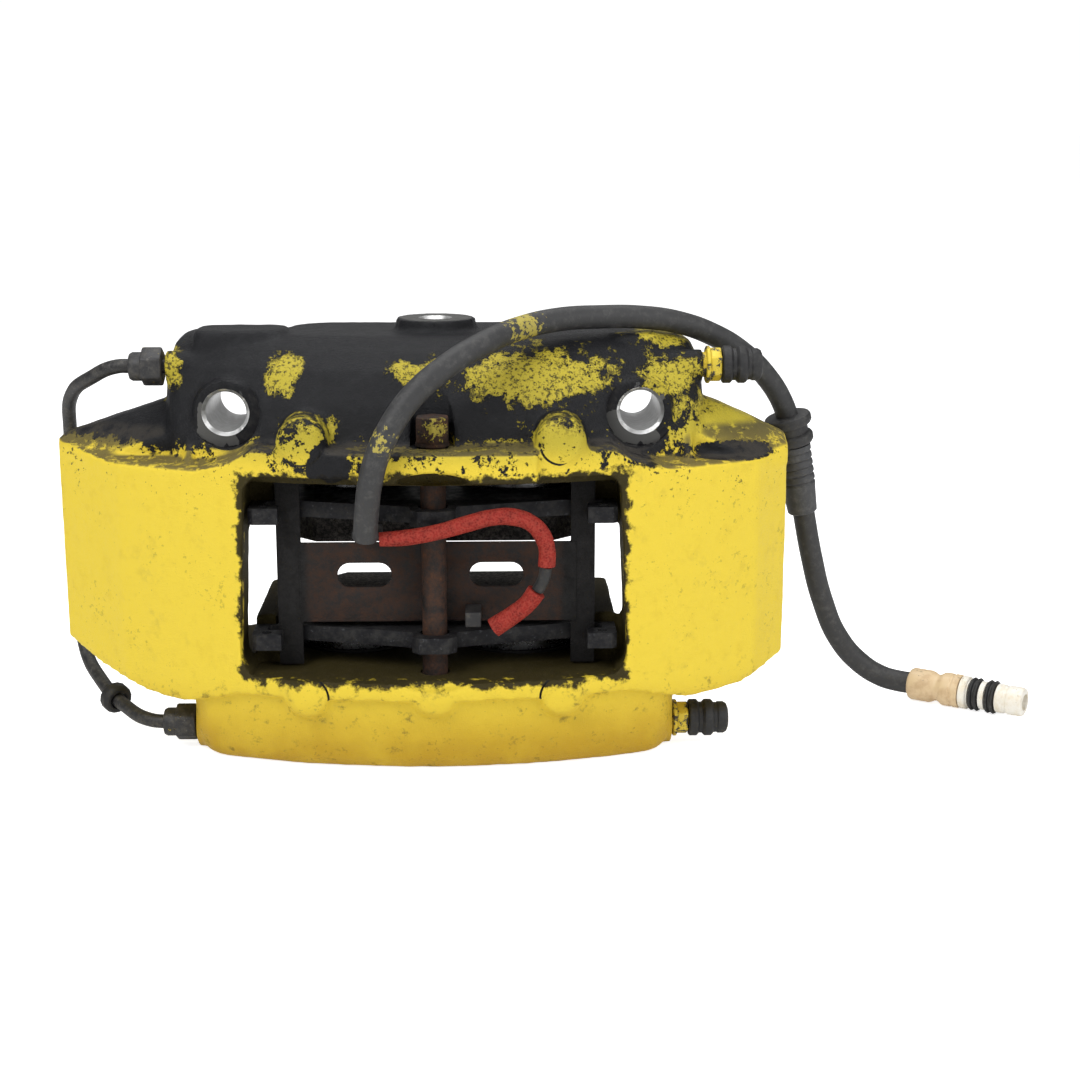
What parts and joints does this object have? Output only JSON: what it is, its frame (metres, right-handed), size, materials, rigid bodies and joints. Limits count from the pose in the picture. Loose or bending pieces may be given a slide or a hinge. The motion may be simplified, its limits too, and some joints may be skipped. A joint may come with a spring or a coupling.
{
  "type": "brake caliper",
  "caption": "Fixed opposed-piston disc-brake caliper with pads, pad pin and spring, crossover pipe, bleed screws and a pad-wear sensor cable.",
  "frame": {"origin": "middle of the caliper's footprint, on the outboard face that it lies on", "axes": "+Z from the outboard to the inboard side (the wheel's axis), +Y from the rim of the disc towards the hub, +X along the rim to the bleed-screw end"},
  "size_m": [0.3274, 0.0983, 0.1424],
  "materials": {
    "cast_body": "cast, yellow paint worn off the black paint under it",
    "piston": "hard anodised, satin",
    "seal_rubber": "matt",
    "pad_steel": "black paint, dusty",
    "friction_lining": "worn, porous",
    "rusty_pin": "rusted",
    "rusty_spring": "rusted sheet",
    "brake_pipe": "black coating, chipped",
    "pipe_nut": "dull, painted over in places",
    "clip_plastic": "moulded",
    "bleed_steel": "dull plated",
    "cap_rubber": "moulded, ribbed",
    "cable_rubber": "satin jacket, dusty",
    "connector_beige": "aged",
    "connector_white": "aged",
    "oring_rubber": "ribbed",
    "lead_sleeve": "silicone-coated woven sleeve",
    "lead_core": "tape",
    "sensor_plastic": "moulded"
  },
  "bodies": {
    "caliper": {"caliper_body": "cast_body", "piston_seal_inboard_left": "seal_rubber", "piston_seal_inboard_right": "seal_rubber", "piston_seal_outboard_left": "seal_rubber", "piston_seal_outboard_right": "seal_rubber", "dust_boot_inboard_left": "seal_rubber", "dust_boot_inboard_right": "seal_rubber", "dust_boot_outboard_left": "seal_rubber", "dust_boot_outboard_right": "seal_rubber", "pad_spring": "rusty_spring", "crossover_pipe": "brake_pipe", "crossover_nut_inboard": "pipe_nut", "crossover_nut_outboard": "pipe_nut", "pipe_clip": "clip_plastic", "sensor_cable": "cable_rubber", "cable_grommet": "cable_rubber", "cable_boot": "cable_rubber", "connector_sleeve": "connector_beige", "connector_nose": "connector_white", "connector_oring_1": "oring_rubber", "connector_oring_2": "oring_rubber", "sensor_lead_inboard": "lead_sleeve", "sensor_lead_outboard": "lead_sleeve", "sensor_lead_core": "lead_core", "sensor_head_inboard": "sensor_plastic", "sensor_head_outboard": "sensor_plastic"},
    "pad_inboard": {"pad_backing_plate_inboard": "pad_steel", "pad_lining_inboard": "friction_lining"},
    "pad_outboard": {"pad_backing_plate_outboard": "pad_steel", "pad_lining_outboard": "friction_lining"},
    "pad_pin": {"pad_pin": "rusty_pin"},
    "piston_inboard_left": {"piston_inboard_left": "piston"},
    "piston_inboard_right": {"piston_inboard_right": "piston"},
    "bleed_screw_inboard": {"bleed_screw_inboard": "bleed_steel"},
    "bleed_cap_inboard": {"bleed_cap_inboard": "cap_rubber"},
    "piston_outboard_left": {"piston_outboard_left": "piston"},
    "piston_outboard_right": {"piston_outboard_right": "piston"},
    "bleed_screw_outboard": {"bleed_screw_outboard": "bleed_steel"},
    "bleed_cap_outboard": {"bleed_cap_outboard": "cap_rubber"}
  },
  "joints": [
    {"name": "pad_inboard_slide", "type": "slide", "parent": "caliper", "child": "pad_inboard", "axis": [0, 0, -1], "range_m": [-0.007, 0.006]},
    {"name": "piston_inboard_left_slide", "type": "slide", "parent": "caliper", "child": "piston_inboard_left", "axis": [0, 0, -1], "range_m": [-0.007, 0.006]},
    {"name": "piston_inboard_right_slide", "type": "slide", "parent": "caliper", "child": "piston_inboard_right", "axis": [0, 0, -1], "range_m": [-0.007, 0.006]},
    {"name": "pad_outboard_slide", "type": "slide", "parent": "caliper", "child": "pad_outboard", "axis": [0, 0, 1], "range_m": [-0.006, 0.0015]},
    {"name": "piston_outboard_left_slide", "type": "slide", "parent": "caliper", "child": "piston_outboard_left", "axis": [0, 0, 1], "range_m": [-0.006, 0.0015]},
    {"name": "piston_outboard_right_slide", "type": "slide", "parent": "caliper", "child": "piston_outboard_right", "axis": [0, 0, 1], "range_m": [-0.006, 0.0015]},
    {"name": "pad_pin_slide", "type": "slide", "parent": "caliper", "child": "pad_pin", "axis": [0, 0, 1], "range_m": [0, 0.085]},
    {"name": "bleed_inboard_turn", "type": "hinge", "parent": "caliper", "child": "bleed_screw_inboard", "pos_m": [0.09191, 0.00015, 0.1232], "axis": [1, 0, 0], "range_deg": [0, 270]},
    {"name": "bleed_cap_inboard_slide", "type": "slide", "parent": "bleed_screw_inboard", "child": "bleed_cap_inboard", "axis": [1, 0, 0], "range_m": [0, 0.025]},
    {"name": "bleed_outboard_turn", "type": "hinge", "parent": "caliper", "child": "bleed_screw_outboard", "pos_m": [0.08191, -0.01185, 0.0084], "axis": [1, 0, 0], "range_deg": [0, 270]},
    {"name": "bleed_cap_outboard_slide", "type": "slide", "parent": "bleed_screw_outboard", "child": "bleed_cap_outboard", "axis": [1, 0, 0], "range_m": [0, 0.025]}
  ],
  "couplings": [
    {"joint": "piston_inboard_left_slide", "follows": "pad_inboard_slide", "ratio": 1},
    {"joint": "piston_inboard_right_slide", "follows": "pad_inboard_slide", "ratio": 1},
    {"joint": "piston_outboard_left_slide", "follows": "pad_outboard_slide", "ratio": 1},
    {"joint": "piston_outboard_right_slide", "follows": "pad_outboard_slide", "ratio": 1}
  ]
}
